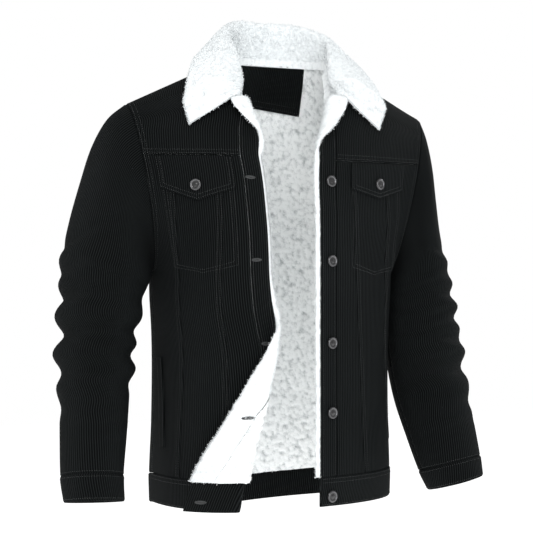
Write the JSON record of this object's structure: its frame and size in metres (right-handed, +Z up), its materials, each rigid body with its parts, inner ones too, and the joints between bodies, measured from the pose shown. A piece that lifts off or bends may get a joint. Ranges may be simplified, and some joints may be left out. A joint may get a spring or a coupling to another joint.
{
  "type": "sherpa lined jacket",
  "caption": "Waist-length corduroy jacket with sherpa lining and collar, chest flap pockets, welt pockets and buttoned front, hanging open",
  "frame": {"origin": "midway between the two points where the shoulder seams meet the neckline, where the wearer's shoulders hold the jacket", "axes": "+Z up, the jacket's front faces -Y, +X is the wearer's left"},
  "size_m": [0.6547, 0.322, 0.7468],
  "materials": {
    "corduroy": "matte",
    "sherpa": "matte",
    "button": "gloss"
  },
  "bodies": {
    "root": {"placket_left": "corduroy", "front_inner_left": "corduroy", "front_middle_left": "corduroy", "front_side_left": "corduroy", "front_yoke_left": "corduroy", "flap_left": "corduroy", "welt_left": "corduroy", "facing_left": "sherpa", "lining_left": "sherpa", "flap_button_left": "button", "sleeve_upper_left": "corduroy", "sleeve_lower_left": "corduroy", "cuff_left": "corduroy", "placket_right": "corduroy", "front_inner_right": "corduroy", "front_middle_right": "corduroy", "front_side_right": "corduroy", "front_yoke_right": "corduroy", "flap_right": "corduroy", "welt_right": "corduroy", "facing_right": "sherpa", "lining_right": "sherpa", "flap_button_right": "button", "sleeve_upper_right": "corduroy", "sleeve_lower_right": "corduroy", "cuff_right": "corduroy", "button_1": "button", "button_2": "button", "button_3": "button", "button_4": "button", "button_5": "button", "back": "corduroy", "lining_back": "sherpa", "neck_patch": "corduroy", "waistband": "corduroy", "collar": "sherpa"}
  },
  "joints": []
}
